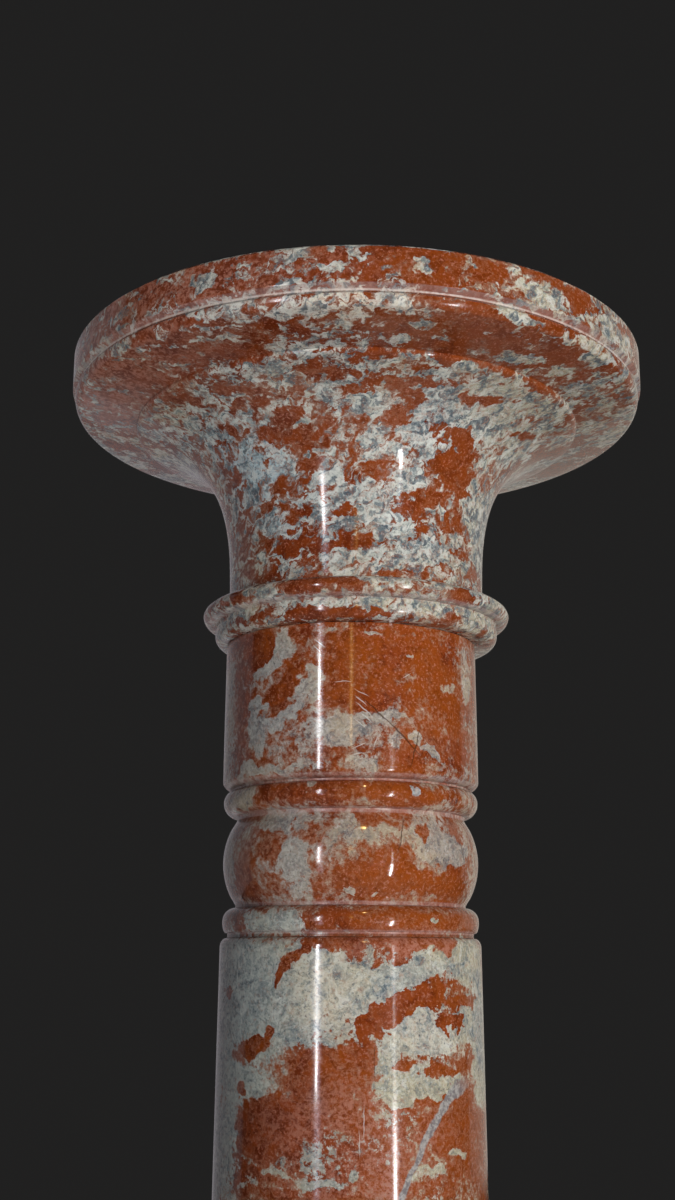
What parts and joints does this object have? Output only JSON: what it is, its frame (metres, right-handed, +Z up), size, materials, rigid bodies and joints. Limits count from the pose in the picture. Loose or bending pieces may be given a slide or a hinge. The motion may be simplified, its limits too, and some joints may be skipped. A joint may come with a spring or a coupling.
{
  "type": "marble pedestal column",
  "caption": "Free-standing turned marble column with a ringed shaft, a trumpet-shaped capital and a round flat top that carries a vase, bust or plant",
  "frame": {"origin": "centre of the flat underside of the base, on the shaft's axis", "axes": "+Z up along the column, +Y away from the viewer of the picture, +X to the viewer's right"},
  "size_m": [0.3021, 0.3, 1.05],
  "materials": {
    "marble": "polished rust-red marble clouded with grey-white and cream"
  },
  "bodies": {
    "root": {"base": "marble", "shaft": "marble", "capital": "marble"}
  },
  "joints": []
}
